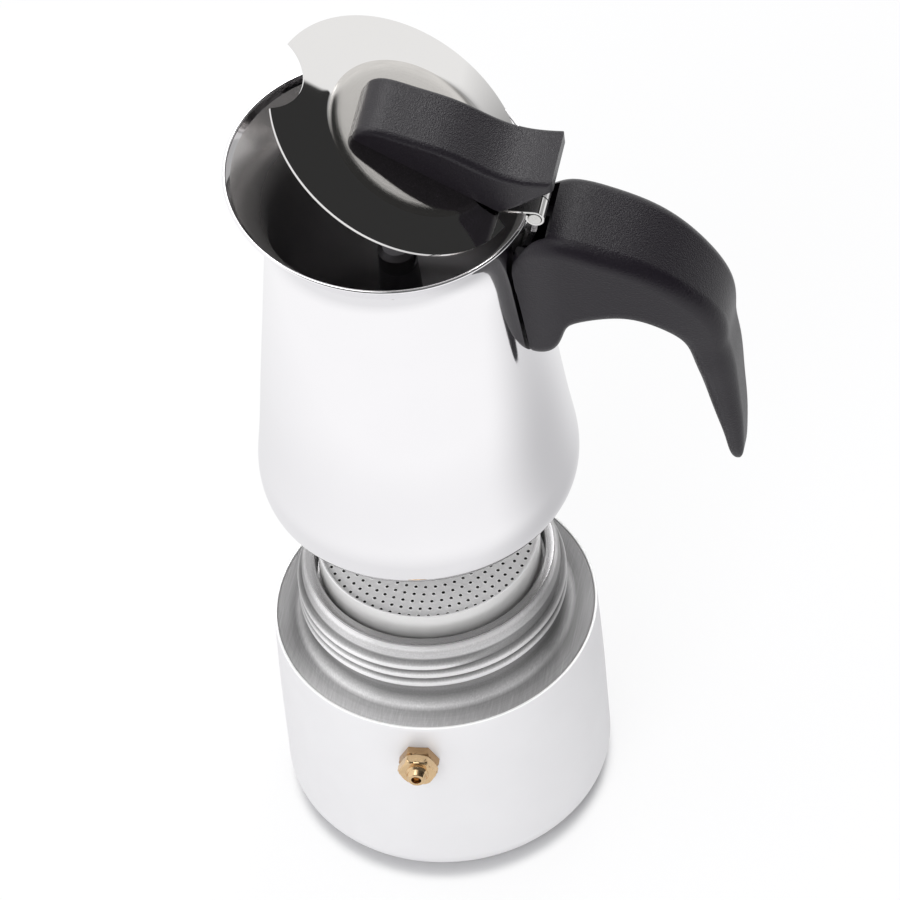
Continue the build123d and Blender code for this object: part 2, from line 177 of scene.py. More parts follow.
def spun(name, outline, segments, closed=True, place=None):
    """Solid of revolution about Z from an outline of (radius, height) points."""
    outline = np.array(outline, float)
    turns = np.linspace(0, tau, segments, endpoint=False)
    points = [(r * cos(t), r * sin(t), z) for r, z in outline for t in turns]
    return mesh_from(name, points, ring_faces(len(outline), segments, closed), 40, place)


def pieced(name, meshes):
    """Several meshes as one."""
    work = bmesh.new()
    for mesh in meshes:
        work.from_mesh(mesh)
    joined = bpy.data.meshes.new(name)
    work.to_mesh(joined)
    work.free()
    return joined


def bored(mesh, cutter):
    """The mesh with another mesh cut out of it."""
    holders = [bpy.data.objects.new(part.name, part) for part in (mesh, cutter)]
    for holder in holders:
        scene.collection.objects.link(holder)
    cut = holders[0].modifiers.new("bore", "BOOLEAN")
    cut.operation = "DIFFERENCE"
    cut.solver = "EXACT"
    cut.object = holders[1]
    shaped = holders[0].evaluated_get(bpy.context.evaluated_depsgraph_get())
    result = bpy.data.meshes.new_from_object(shaped)
    for holder in holders:
        bpy.data.objects.remove(holder)
    return result


# ---------------------------------------------------------------- material helpers
class Nodes:
    """A node tree under construction, with short ways to add nodes and join them."""

    def __init__(self, tree):
        self.tree = tree

    def feed(self, socket, value):
        """Link a socket to another node's output, or give it a number, a place or a colour."""
        if isinstance(value, bpy.types.NodeSocket):
            self.tree.links.new(value, socket)
        elif socket.type == "RGBA":
            colour = value if isinstance(value, tuple) else (value,) * 3
            socket.default_value = (*colour, 1)
        else:
            socket.default_value = value

    def add(self, kind, feeds=None, **settings):
        """A new node; feeds gives its sockets what they take, by name or number."""
        node = self.tree.nodes.new("ShaderNode" + kind)
        for key, value in settings.items():
            setattr(node, key, value)
        for key, value in (feeds or {}).items():
            self.feed(node.inputs[key], value)
        return node

    def math(self, operation, *values, **settings):
        """One step of arithmetic."""
        return self.add("Math", dict(enumerate(values)), operation=operation, **settings).outputs[0]

    def where(self):
        """The shaded point, in metres."""
        return self.add("TexCoord").outputs["Object"]

    def axes(self):
        """The shaded point's X, Y and Z."""
        return self.add("SeparateXYZ", {0: self.where()}).outputs

    def length(self, x, y):
        """Distance from the origin."""
        return self.math("SQRT", self.math("ADD", self.math("MULTIPLY", x, x), self.math("MULTIPLY", y, y)))

    def noise(self, place, scale, detail, roughness=0.5):
        """Soft random patches between 0 and 1."""
        feeds = {"Vector": place, "Scale": scale, "Detail": detail, "Roughness": roughness}
        return self.add("TexNoise", feeds).outputs["Fac"]

    def ramp(self, value, low, high, at_low=0.0, at_high=1.0, kind="LINEAR"):
        """A value from low to high gives a number from at_low to at_high, and no further."""
        feeds = {"Value": value, "From Min": low, "From Max": high, "To Min": at_low, "To Max": at_high}
        return self.add("MapRange", feeds, interpolation_type=kind).outputs["Result"]

    def soft_ramp(self, value, low, high, at_low=0.0, at_high=1.0):
        """A ramp that starts and ends gently."""
        return self.ramp(value, low, high, at_low, at_high, "SMOOTHSTEP")

    def blend(self, share, first, second):
        """A colour between two; a single number stands for a grey."""
        return self.add("Mix", {"Factor": share, "A": first, "B": second}, data_type="RGBA").outputs["Result"]


class Finish(Nodes):
    """A material under construction."""

    def __init__(self, name, colour, metallic, roughness, **sockets):
        self.material = bpy.data.materials.new(name)
        self.material.use_nodes = True
        super().__init__(self.material.node_tree)
        self.shader = self.tree.nodes["Principled BSDF"]
        self.set(Base_Color=colour, Metallic=metallic, Roughness=roughness, **sockets)

    def set(self, **sockets):
        """Feed the shader's sockets."""
        for key, value in sockets.items():
            self.feed(self.shader.inputs[key.replace("_", " ")], value)

    def effect(self, tree, **inputs):
        """The outputs of a shared effect."""
        feeds = {key.replace("_", " "): value for key, value in inputs.items()}
        return self.add("Group", feeds, node_tree=tree).outputs

    def bump(self, height, strength, distance):
        """Fine relief, no more than distance in metres."""
        feeds = {"Height": height, "Strength": strength, "Distance": distance}
        self.set(Normal=self.add("Bump", feeds).outputs["Normal"])

    def worn(self, mask, least, most):
        """A mask sets the roughness between two numbers."""
        self.set(Roughness=self.ramp(mask, 0.0, 1.0, least, most))

    def two_tone(self, mask, first, second):
        """A mask sets the colour between two."""
        self.set(Base_Color=self.blend(mask, first, second))

    def brushed_round(self):
        """Highlights stretch as they do on metal that was turned about Z."""
        self.set(Tangent=self.add("Tangent", direction_type="RADIAL", axis="Z").outputs[0])


class Effect(Nodes):
    """A shared effect under construction: a node group with numbers in and values out."""

    def __init__(self, name, inputs, outputs):
        super().__init__(bpy.data.node_groups.new(name, "ShaderNodeTree"))
        for key, value in inputs.items():
            socket = self.tree.interface.new_socket(key, in_out="INPUT", socket_type="NodeSocketFloat")
            socket.default_value = value
        for key in outputs:
            self.tree.interface.new_socket(key, in_out="OUTPUT", socket_type="NodeSocketFloat")
        self.given = self.tree.nodes.new("NodeGroupInput").outputs
        self.results = self.tree.nodes.new("NodeGroupOutput").inputs

    def done(self, **values):
        """Set what the effect gives out; the finished group."""
        for key, value in values.items():
            self.feed(self.results[key], value)
        return self.tree


def clouding_effect():
    """Soft uneven patches and fine speckle, as on a wiped polished sheet."""
    made = Effect("clouding", {"Size": 0.03, "Detail": 3.0}, ["Mask"])
    scale = made.math("DIVIDE", 1.0, made.given["Size"])
    return made.done(Mask=made.noise(made.where(), scale, made.given["Detail"], 0.55))


def turning_effect():
    """Fine lines round an axis, as a lathe or a buffing wheel leaves them, broken up along their length.

    The axis leans by Lean from Z towards X, and passes through Centre x and Centre z.
    """
    inputs = {"Line width": 0.00018, "Run": 3.0, "Lean": 0.0, "Centre x": 0.0, "Centre z": 0.0}
    made = Effect("turning lines", inputs, ["Mask", "Height"])
    given, math = made.given, made.math
    at_x, y, at_z = made.axes()
    side = math("SUBTRACT", at_x, given["Centre x"])
    up = math("SUBTRACT", at_z, given["Centre z"])
    sine = math("SINE", given["Lean"])
    cosine = math("COSINE", given["Lean"])
    x = math("SUBTRACT", math("MULTIPLY", side, cosine), math("MULTIPLY", up, sine))
    z = math("ADD", math("MULTIPLY", side, sine), math("MULTIPLY", up, cosine))
    radius = made.length(x, y)
    across = math("DIVIDE", math("ADD", radius, math("MULTIPLY", z, 0.83)), given["Line width"])
    around = [math("MULTIPLY", math("DIVIDE", part, radius), given["Run"]) for part in (x, y)]
    unrolled = made.add("CombineXYZ", dict(enumerate([across, *around]))).outputs[0]
    lines = made.noise(unrolled, 1.0, 4.0, 0.65)
    return made.done(Mask=lines, Height=lines)


def grain_effect():
    """Moulded grain: small rounded pits of mixed size."""
    made = Effect("moulded grain", {"Size": 0.0006}, ["Height", "Mask"])
    where = made.where()
    scale = made.math("DIVIDE", 1.0, made.given["Size"])
    pits = made.add("TexVoronoi", {"Vector": where, "Scale": scale}, feature="SMOOTH_F1").outputs["Distance"]
    speckle = made.noise(where, made.math("MULTIPLY", scale, 0.6), 3.0)
    return made.done(Height=made.math("ADD", made.math("MULTIPLY", pits, 0.6), speckle), Mask=speckle)


def scratch_effect():
    """Hair-fine straight scratches in two directions."""
    made = Effect("hair scratches", {"Width": 0.00025}, ["Mask"])
    scale = made.math("DIVIDE", 1.0, made.given["Width"])
    masks = []
    for turn in (0.5, -0.9):
        feeds = {"Vector": made.where(), "Rotation": (0.3, 0.2, turn), "Scale": (1.0, 0.02, 1.0)}
        stretched = made.add("Mapping", feeds).outputs["Vector"]
        masks.append(made.math("POWER", made.noise(stretched, scale, 2.0), 3.0))
    return made.done(Mask=made.math("ADD", *masks))


def painted_shade_bands_effect():
    """Painted shade and highlights on the boiler's top, by distance from the axis and by height on the
    threaded neck.
    """
    made = Effect("painted shade and highlight bands", {"Base height": 0.069}, ["Level"])
    x, y, z = made.axes()
    radius = made.length(x, y)
    height = made.math("SUBTRACT", z, made.given["Base height"])

    def levels(value, start, stops):
        """Level along a value, from (millimetres, level) stops over the ten millimetres from start."""
        share = made.math("MULTIPLY", made.math("SUBTRACT", value, start * MM), 100.0)
        node = made.add("ValToRGB", {"Fac": share})
        elements = node.color_ramp.elements
        while len(elements) < len(stops):
            elements.new(0.5)
        for element, (position, level) in zip(elements, stops):
            element.position = (position - start) / 10
            element.color = (level, level, level, 1)
        return node.outputs["Color"]

    def change(first, second, low, high):
        """The first level below a height, the second above it."""
        share = made.ramp(height, low * MM, high * MM)
        return made.add("Mix", {"A": first, "B": second, "Factor": share}).outputs["Result"]

    # painted shade and highlight: dark and bright rings in the fillet, dark between the threads, bright on
    # their crests and at the neck's top
    flat = levels(radius, 39.0, [(39.2, 0.24), (40.2, 0.46), (41.0, 0.66), (41.5, 0.74), (42.1, 0.55),
                                 (42.8, 0.36), (44.2, 0.40), (45.2, 0.46), (47.6, 0.50)])
    thread = levels(radius, 39.0, [(39.0, 0.30), (39.8, 0.36), (40.2, 0.56), (40.5, 0.92)])
    plain = levels(height, 16.0, [(20.0, 0.42), (20.8, 0.62), (23.2, 0.60), (24.0, 1.0)])
    return made.done(Level=change(change(flat, thread, 5.2, 6.4), plain, 20.0, 20.6))


def painted_lit_side_effect():
    """Painted light and shade: a level that is High on the side of the Z axis towards Heading, and Low on the
    other side.
    """
    made = Effect("painted lit side", {"Heading": 0.0, "Low": 0.6, "High": 1.0}, ["Level"])
    axes = made.axes()
    angle = made.math("SUBTRACT", made.math("ARCTAN2", axes["Y"], axes["X"]), made.given["Heading"])
    level = made.soft_ramp(made.math("COSINE", angle), 0.3, 0.85, made.given["Low"], made.given["High"])
    return made.done(Level=level)


CLOUDING = clouding_effect()
PAINTED_SHADE_BANDS = painted_shade_bands_effect()
PAINTED_LIT_SIDE = painted_lit_side_effect()
TURNING = turning_effect()
GRAIN = grain_effect()
SCRATCHES = scratch_effect()


def shade(colour, factor):
    """A colour made darker or lighter."""
    return tuple(min(1, part * factor) for part in colour)


def polished(name, colour, roughness, scratched=0.05, metallic=1.0):
    """Polished sheet with faint clouding and hair scratches."""
    made = Finish(name, colour, metallic, roughness)
    cloud = made.effect(CLOUDING, Size=0.02, Detail=4.0)["Mask"]
    made.two_tone(cloud, colour, shade(colour, 0.975))
    made.worn(cloud, roughness * 0.7, roughness * 1.4)
    if scratched:
        made.bump(made.effect(SCRATCHES, Width=0.0003)["Mask"], scratched, 0.00001)
    return made.material


def turned_steel(name, colour, roughness, line, depth, anisotropic, metallic=1.0, **axis):
    """Steel with lines running round the axis."""
    made = Finish(name, colour, metallic, roughness, Anisotropic=anisotropic, Anisotropic_Rotation=0.25)
    made.brushed_round()
    lines = made.effect(TURNING, Line_width=line, Run=4.0, **axis)
    made.two_tone(lines["Mask"], shade(colour, 0.86), shade(colour, 1.12))
    made.worn(lines["Mask"], roughness * 0.75, roughness * 1.25)
    made.bump(lines["Height"], 0.35, depth)
    return made.material


def shoulder_steel(name, base_z):
    """Rolled and turned top of the boiler, with painted shade in the fillet, between the threads and on its
    sides, and painted highlights beside the threads and on its front.
    """
    made = Finish(name, (0.6, 0.6, 0.6), 0.6, 0.40, Anisotropic=1.0, Anisotropic_Rotation=0.25)
    made.brushed_round()
    # painted shade and highlights in bands round the axis
    bands = made.effect(PAINTED_SHADE_BANDS, Base_height=base_z * MM)["Level"]
    # painted highlight on the shoulder's front, painted shade on its sides
    lit = made.effect(PAINTED_LIT_SIDE, Heading=radians(-85), Low=0.5, High=1.0)["Level"]
    scratches = made.effect(SCRATCHES, Width=0.0004)["Mask"]
    lines = made.effect(TURNING, Line_width=0.00022, Run=4.0)
    streaks = made.math("MULTIPLY_ADD", scratches, 0.5, made.ramp(lines["Mask"], 0.0, 1.0, 0.8, 1.2))
    level = made.math("MULTIPLY", made.math("MULTIPLY", bands, streaks), lit)
    made.two_tone(level, 0.0, (1, 0.99, 1))
    made.bump(lines["Height"], 0.3, 0.00002)
    return made.material


def drawn_steel(name, colour, roughness, metallic=1.0):
    """Bright sheet with a soft uneven finish."""
    made = Finish(name, colour, metallic, roughness)
    cloud = made.effect(CLOUDING, Size=0.004, Detail=5.0)["Mask"]
    made.two_tone(cloud, shade(colour, 0.9), colour)
    made.worn(cloud, roughness * 0.8, roughness * 1.25)
    made.bump(cloud, 0.12, 0.00005)
    return made.material


def moulded(name, colour, roughness, shine):
    """Black moulded plastic with a fine sparkling grain."""
    made = Finish(name, colour, 0.0, roughness, Specular_IOR_Level=shine)
    grain = made.effect(GRAIN, Size=0.0003)
    made.two_tone(grain["Mask"], shade(colour, 0.6), shade(colour, 1.4))
    made.worn(grain["Mask"], roughness * 0.85, roughness * 1.15)
    made.bump(grain["Height"], 1.0, 0.00012)
    return made.material


def tarnished(name, colour, roughness):
    """Turned metal, a little tarnished."""
    made = Finish(name, colour, 1.0, roughness)
    cloud = made.effect(CLOUDING, Size=0.0022, Detail=5.0)["Mask"]
    made.two_tone(cloud, shade(colour, 0.7), colour)
    made.worn(cloud, roughness * 0.7, roughness * 1.5)
    made.bump(cloud, 0.15, 0.00005)
    return made.material


def jug_inside_painted_shade(name, rim_z, deep_z):
    """Inside of the jug: bright near the rim, with painted shade making it darker further down."""
    made = Finish(name, (0.2, 0.2, 0.2), 0.9, 0.3)
    cloud = made.effect(CLOUDING, Size=0.012, Detail=4.0)["Mask"]
    height = made.math("MULTIPLY_ADD", cloud, 0.006, made.axes()["Z"])
    # painted shade: the colour darkens with depth inside the jug
    share = made.soft_ramp(height, deep_z * MM, rim_z * MM)
    made.two_tone(share, (0.42, 0.41, 0.42), (0.86, 0.835, 0.825))
    made.worn(share, 0.34, 0.22)
    made.bump(made.effect(SCRATCHES, Width=0.0004)["Mask"], 0.1, 0.00002)
    return made.material


def rubber_finish(name, colour):
    """Pale soft rubber, a little uneven."""
    made = Finish(name, colour, 0.0, 0.6)
    cloud = made.effect(CLOUDING, Size=0.0015, Detail=4.0)["Mask"]
    made.two_tone(cloud, shade(colour, 0.9), colour)
    made.bump(cloud, 0.2, 0.00005)
    return made.material


JUG_STEEL = polished("polished jug steel", (0.95, 0.94, 0.955), 0.06)
BOILER_STEEL = polished("satin boiler steel", (0.81, 0.805, 0.82), 0.42, 0.0, 0.45)
# painted highlight: near-white, mostly diffuse steel for the boiler's rolled edge and the filter holes' rims
HIGHLIGHT_EDGE_STEEL = drawn_steel("painted highlight edge steel", (0.98, 0.98, 0.98), 0.3, 0.2)
LID_STEEL = polished("polished lid steel", (0.80, 0.79, 0.78), 0.02)
BOSS_STEEL = turned_steel(
    "spun lid middle", (0.64, 0.62, 0.595), 0.10, 0.0007, 0.000006, 0.0, 1.0,
    Lean=LID_OPEN, Centre_x=BOSS_AT.x, Centre_z=BOSS_AT.z,
)
SHOULDER_STEEL_PAINTED_SHADE = shoulder_steel("turned shoulder steel, painted shade and highlights", SHOULDER_Z)
NECK_STEEL = turned_steel("turned neck steel", (0.86, 0.855, 0.86), 0.20, 0.0003, 0.00001, 0.3)
FILTER_STEEL = drawn_steel("filter steel", (0.92, 0.915, 0.925), 0.30, 0.2)
CUP_STEEL = drawn_steel("filter wall steel", (0.80, 0.795, 0.79), 0.30, 0.6)
# painted shade: the filter holes' walls are near black
HOLE_SHADE_STEEL = drawn_steel("hole steel painted dark for shade", (0.06, 0.058, 0.056), 0.5, 0.5)
# painted shade: the jug's floor, the riser and its cap are dark because they sit inside the jug
INNER_SHADE_STEEL = drawn_steel("inner steel painted dark for shade", (0.40, 0.395, 0.40), 0.30)
RISER_SHADE_STEEL = drawn_steel("riser steel painted dark for shade", (0.13, 0.125, 0.135), 0.5)
CAP_SHADE_STEEL = drawn_steel("cap steel painted dark for shade", (0.09, 0.087, 0.093), 0.5)
JUG_INSIDE_PAINTED_SHADE = jug_inside_painted_shade("jug inside steel, painted shade deeper down", JUG_Z + 129, JUG_Z + 111)
FUNNEL_STEEL = turned_steel("funnel steel", (0.42, 0.415, 0.42), 0.25, 0.0003, 0.00001, 0.3, 0.8)
PIN_STEEL = tarnished("pin steel", (0.80, 0.79, 0.77), 0.25)
SCREW_STEEL = drawn_steel("screw steel", (0.78, 0.77, 0.77), 0.22)
HANDLE_GRIP = moulded("grained black handle", (0.0080, 0.006, 0.0098), 0.31, 0.36)
KNOB_GRIP = moulded("grained black knob", (0.0080, 0.006, 0.0098), 0.33, 0.55)
BRASS = tarnished("valve brass", (0.92, 0.66, 0.38), 0.20)
DARK_BRASS = tarnished("dark valve brass", (0.56, 0.36, 0.19), 0.28)
RUBBER = rubber_finish("gasket silicone", (0.74, 0.72, 0.68))


# ---------------------------------------------------------------- boiler
THREAD_START = 7.35  # lowest crest above the shoulder
THREAD_PITCH = 3.8
THREAD_TURNS = 2.9
THREAD_HEIGHT = 1.6
VALVE_BORE = 3.4  # hole in the boiler wall, filled by the valve's stem


def boiler_outline():
    """Shell outline: outside from the foot ring up, over the edge, and down inside."""
    corner = 7.9
    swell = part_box("boiler_shell")[1].x / MM  # the widest place
    bottom = [(0, 0.7), (34.5, 0.7), (36.4, 0.25), (37.4, 0.0), (swell - corner, 0.0)]
    turns = np.linspace(0, pi / 2, 16)[1:]
    arc = [(swell - corner + corner * sin(a), corner * (1 - cos(a))) for a in turns]
    side = [arc[-1], (swell, 22), (swell, 36), (BOILER_R + 0.35, 54), (BOILER_R, SHOULDER_Z - 0.35)]
    wall = curve_through(side, 36)
    outside = bottom + arc + [(min(r, swell), z) for r, z in wall[1:]]
    edge = [(BOILER_R - into, SHOULDER_Z - drop) for into, drop in ((0.12, 0.08), (0.4, 0.0), (0.68, 0.08))]
    inside = [(r - SHEET, z) for r, z in reversed(outside[len(bottom) :])]
    return outside + edge + inside + [(swell - corner, SHEET + 0.4), (0, SHEET + 0.7)]


def thread_height(turn, z):
    """How far the rolled thread stands out at a turn (0 to 1) and a height above the shoulder."""
    run_out = 0.12  # turns over which either end fades
    half_width = 0.47  # of the pitch
    phase = (z - THREAD_START) / THREAD_PITCH - turn
    nearest = round(phase)
    along = turn + nearest
    fade = min(1.0, max(0.0, along / run_out), max(0.0, (THREAD_TURNS - along) / run_out))
    share = abs(phase - nearest) / half_width
    if fade <= 0 or share >= 1:
        return 0.0
    return THREAD_HEIGHT * fade * fade * (3 - 2 * fade) * (1 - share**2) ** 0.65


def shoulder_mesh():
    """Shoulder, fillet and neck as one skin, with the thread rolled into the neck."""
    segments = 384
    top = NECK_TOP_Z
    base = SHOULDER_Z
    edge = BOILER_R - SHEET - PLAY
    inner = MOUTH_R + 1  # inside of the neck below its mouth
    outline = [(edge, base - 1.1), (edge, base - 0.5), (edge - 0.3, base - 0.2)]
    fillet = [(edge - 0.3, base - 0.2), (46.5, base + 0.02), (44.2, base + 0.24), (42.2, base + 0.82),
              (40.2, base + 2.4), (39.2, base + 4.1), (NECK_R, base + 5.3)]
    outline += [tuple(p) for p in curve_through(fillet, 30)[1:]]
    outline += [(NECK_R, z) for z in np.arange(base + 5.4, base + 21.0, 0.13)]
    outline += [(NECK_R, base + 21.3), (38.95, top - 2.2), (38.75, top - 1.4), (38.3, top - 0.65),
                (37.5, top - 0.15), (36.9, top), (MOUTH_R, top), (MOUTH_R, top - 1.2)]
    outline += [(inner, top - 2.2), (inner, base + 5.0), (41.5, base - 0.6)]
    points = []
    for r, z in outline:
        threaded = NECK_R - 0.01 < r < 40.5
        for k in range(segments):
            turn = k / segments
            reach = max(r, NECK_R + thread_height(turn, z - base)) if threaded else r
            points.append((reach * cos(tau * turn), reach * sin(tau * turn), z))
    return mesh_from("boiler_shoulder_turned", points, ring_faces(len(outline), segments, True), 35)


def build_boiler():
    """The wall with the valve's bore and a painted highlight along its edge, and the turned top."""
    hole = [(0, -6), (VALVE_BORE, -6), (VALVE_BORE, 2), (0, 2)]
    bore = spun("valve_bore", hole, 64, False, valve_place())
    mesh = bored(spun("boiler_wall", boiler_outline(), 256, False), bore)
    wall = add_object("boiler_wall", mesh, "boiler", BOILER_STEEL)
    # the top faces of the rolled edge take the painted highlight
    mesh.materials.append(HIGHLIGHT_EDGE_STEEL)
    for face in mesh.polygons:
        face.material_index = int(face.center.z > (SHOULDER_Z - 0.42) * MM and face.normal.z > 0.1)
    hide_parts("boiler_shell")
    shoulder = add_object("boiler_top", shoulder_mesh(), "boiler", SHOULDER_STEEL_PAINTED_SHADE)
    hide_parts("boiler_shoulder")


# ---------------------------------------------------------------- safety valve
HEX_FLATS = 10.5
WALL_AT_VALVE = 49.36  # outside of the boiler, from its axis


def valve_place():
    """From the valve's own axes, Z outwards from the wall, to its place on the boiler."""
    outward = -Vector(joints["poppet_slide"]["axis"])
    sideways = Vector((-outward.y, outward.x, 0))
    low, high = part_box("valve_body")
    place = Matrix((sideways, outward.cross(sideways), outward)).transposed().to_4x4()
    place.translation = outward * WALL_AT_VALVE * MM + Vector((0, 0, (low.z + high.z) / 2))
    return place


def circle(r, count, x=0.0, y=0.0):
    """Points round a circle."""
    return [(x + r * cos(tau * k / count), y + r * sin(tau * k / count)) for k in range(count)]


def nut_mesh(name, rows, bore):
    """Hexagon with turned chamfers; rows are (height, greatest radius)."""
    segments = 144
    points = []
    for height, limit in rows:
        for k in range(segments):
            turn = tau * k / segments
            corner = turn % (pi / 3) - pi / 6
            r = min(HEX_FLATS / 2 / cos(corner), limit)
            points.append((r * cos(turn), r * sin(turn), height))
    for height in (rows[-1][0], rows[0][0]):
        points += [(x, y, height) for x, y in circle(bore, segments)]
    return mesh_from(name, points, ring_faces(len(rows) + 2, segments, True), 28, valve_place())


def build_valve():
    """The ring against the wall, and the hexagon with its nozzle."""
    full = HEX_FLATS  # beyond the corners, so nothing is cut off
    collar_rows = [(-0.3, full), (1.9, full), (2.3, 5.75), (2.5, 5.35)]
    mesh = nut_mesh("valve_ring", collar_rows, VALVE_BORE)
    collar = add_object("valve_ring", mesh, "boiler", DARK_BRASS)
    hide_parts("valve_collar")
    front_rows = [(2.62, 5.3), (2.85, 5.7), (3.1, full), (4.9, full), (5.45, 5.65), (5.8, 5.1)]
    outline = rounded([(3.5, 3.0, 0), (3.5, 5.9, 0.1), (2.95, 6.6, 0.35), (2.5, 8.4, 0.3), (1.5, 8.4, 0.15),
                       (1.5, 1.6, 0.2), (2.2, 0.9, 0.1), (2.2, -7.2, 0.1), (3.5, -7.2, 0.2)])
    nozzle = spun("valve_nozzle", outline, 96, place=valve_place())
    mesh = pieced("valve_front", [nut_mesh("valve_hexagon", front_rows, 3.2), nozzle])
    front = add_object("valve_front", mesh, "boiler", BRASS)
    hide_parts("valve_body")


# ---------------------------------------------------------------- funnel and filter
PLATE_DROP = 2.6  # how far the filter's plate lies below its rim
HOLE_R = 0.6
HOLE_PITCH = 2.8
HOLE_RINGS = 11


def build_funnel():
    """Basket with its flange and ledge."""
    low = NECK_TOP_Z + 0.05
    flange = low + 0.75
    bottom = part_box("funnel_basket")[0].z / MM
    ledge = 86.0
    under = ledge - SHEET
    wide, narrow = 34.7, 32.6  # inside of the basket above and below its ledge
    outline = rounded([(FLANGE_R, low, 0.2), (FLANGE_R, flange, 0.3), (wide, flange, 0.5), (wide, ledge, 0.2),
                       (narrow, ledge, 0.3), (narrow, bottom, 0), (narrow + SHEET, bottom, 0),
                       (narrow + SHEET, under, 0.2), (wide + SHEET, under, 0.3), (wide + SHEET, low, 0.3)])
    mesh = spun("funnel_shell", outline, 224)
    basket = add_object("funnel_shell", mesh, "funnel", FUNNEL_STEEL)
    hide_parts("funnel_basket")


def hole_places():
    """Centres of the filter's holes, ring by ring."""
    places = [(0.0, 0.0)]
    for ring in range(1, HOLE_RINGS + 1):
        offset = radians(30 * (ring % 2) / ring)
        for k in range(6 * ring):
            angle = offset + tau * k / (6 * ring)
            places.append((ring * HOLE_PITCH * cos(angle), ring * HOLE_PITCH * sin(angle)))
    return places


def punched_plate(name, radius, low, high, places):
    """Flat plate with round holes, from filled curves."""
    curve = bpy.data.curves.new(name, "CURVE")
    curve.dimensions = "2D"
    curve.fill_mode = "BOTH"
    curve.extrude = (high - low) / 2 * MM
    for line in [circle(radius, 160)] + [circle(HOLE_R, 14, x, y) for x, y in places]:
        spline = curve.splines.new("POLY")
        spline.points.add(len(line) - 1)
        for point, (x, y) in zip(spline.points, line):
            point.co = (x * MM, y * MM, 0, 1)
        spline.use_cyclic_u = True
    holder = bpy.data.objects.new(name, curve)
    mesh = bpy.data.meshes.new_from_object(holder)
    bpy.data.objects.remove(holder)
    bpy.data.curves.remove(curve)
    mesh.transform(Matrix.Translation((0, 0, (low + high) / 2 * MM)))
    return mesh


def burr_rims(name, z, places):
    """A small raised lip round every hole."""
    inner, outer, rise = HOLE_R - 0.1, HOLE_R + 0.26, 0.16
    profile = [(inner, z - 0.1), (inner, z + rise * 0.5), (inner + 0.08, z + rise),
               (outer - 0.08, z + rise * 0.6), (outer, z - 0.02)]
    count = 12
    points, faces = [], []
    for at_x, at_y in places:
        first = len(points)
        points += [(x, y, h) for r, h in profile for x, y in circle(r, count, at_x, at_y)]
        faces += [tuple(first + i for i in face) for face in ring_faces(len(profile), count, False)]
    mesh = bpy.data.meshes.new(name)
    mesh.from_pydata([Vector(p) * MM for p in points], [], faces)
    mesh.shade_smooth()
    return mesh


def build_filter():
    """Drawn cup with its sunken plate; its wall has a finish of its own, its holes' walls are painted dark
    for shade, and their rims carry a painted highlight.
    """
    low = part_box("filter_cup")[0].z / MM
    plate = CUP_TOP_Z - PLATE_DROP
    under = plate - SHEET
    inner = CUP_R - SHEET
    plate_r = CUP_R - 1.6
    wall = rounded([(CUP_R, low, 0.1), (CUP_R, CUP_TOP_Z, 0.33), (inner, CUP_TOP_Z, 0.33),
                    (inner, plate, 0.5), (plate_r, plate, 0), (plate_r, under, 0), (inner, under, 0),
                    (inner, low, 0.1)])
    places = hole_places()
    sheet = punched_plate("filter_sheet", plate_r, under, plate, places)
    rims = burr_rims("filter_rims", plate, places)
    mesh = pieced("filter_drawn_cup", [spun("filter_wall", wall, 224), sheet, rims])
    cup = add_object("filter_drawn_cup", mesh, "filter", FILTER_STEEL)
    # the holes' walls take painted shade, and the rims' tops a painted highlight
    wall_steel, hole_shade_steel, rim_highlight_steel = 1, 2, 3
    for finish in (CUP_STEEL, HOLE_SHADE_STEEL, HIGHLIGHT_EDGE_STEEL):
        mesh.materials.append(finish)
    for face in mesh.polygons:
        upright = abs(face.normal.z) < 0.5
        if hypot(*face.center.xy) > (CUP_R - 1.2) * MM:
            face.material_index = wall_steel if upright else 0
        elif upright:
            face.material_index = hole_shade_steel
        elif face.center.z > (plate + 0.02) * MM:
            face.material_index = rim_highlight_steel
    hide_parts("filter_cup")


# ---------------------------------------------------------------- jug
RIM_Z = 127.9  # from the jug's underside, before the mouth tilts
MOUTH_TILT = radians(5.5)
MOUTH_SHIFT = 2.8  # towards the pouring side


def jug_mesh():
    """Belly, straight wall, waist and tilted flaring mouth in one skin with a rolled rim."""
    # radius, height, and how far the mouth's tilt and shift have set in
    knots = [(43.0, 0.0, 0), (45.7, 2.6, 0), (47.6, 9.6, 0), (46.9, 18.0, 0), (44.09, 44.2, 0),
             (41.3, 70.3, 0), (38.52, 96.4, 0), (37.85, 102.4, 0), (37.15, 109.4, 0.04), (37.5, 115.4, 0.2),
             (39.6, 120.9, 0.55), (42.3, 124.9, 0.85), (44.9, RIM_Z, 1)]
    outer = [tuple(row) for row in curve_through(knots, 150)]
    bead_r = 0.55
    turns = np.linspace(radians(-50), radians(215), 12)
    bead = [(44.45 + bead_r * cos(a), RIM_Z + bead_r * sin(a), 1.0) for a in turns]
    inner = [(r - SHEET, z, share) for r, z, share in reversed(outer[:-2])]
    rows = outer[:-1] + bead + inner
    segments = 256
    points = []
    for r, z, share in rows:
        share = min(max(share, 0.0), 1.0)
        tilt = MOUTH_TILT * share
        for k in range(segments):
            a = tau * k / segments
            x = r * cos(a)
            points.append((x * cos(tilt) - MOUTH_SHIFT * share, r * sin(a), z - x * sin(tilt)))
    lift = Matrix.Translation((0, 0, JUG_Z * MM))
    mesh = mesh_from("jug_wall", points, ring_faces(len(rows), segments, True), 50, lift)
    first_inside = (len(outer) - 1 + len(bead)) * segments
    for face in mesh.polygons:
        face.material_index = int(face.index >= first_inside)
    return mesh


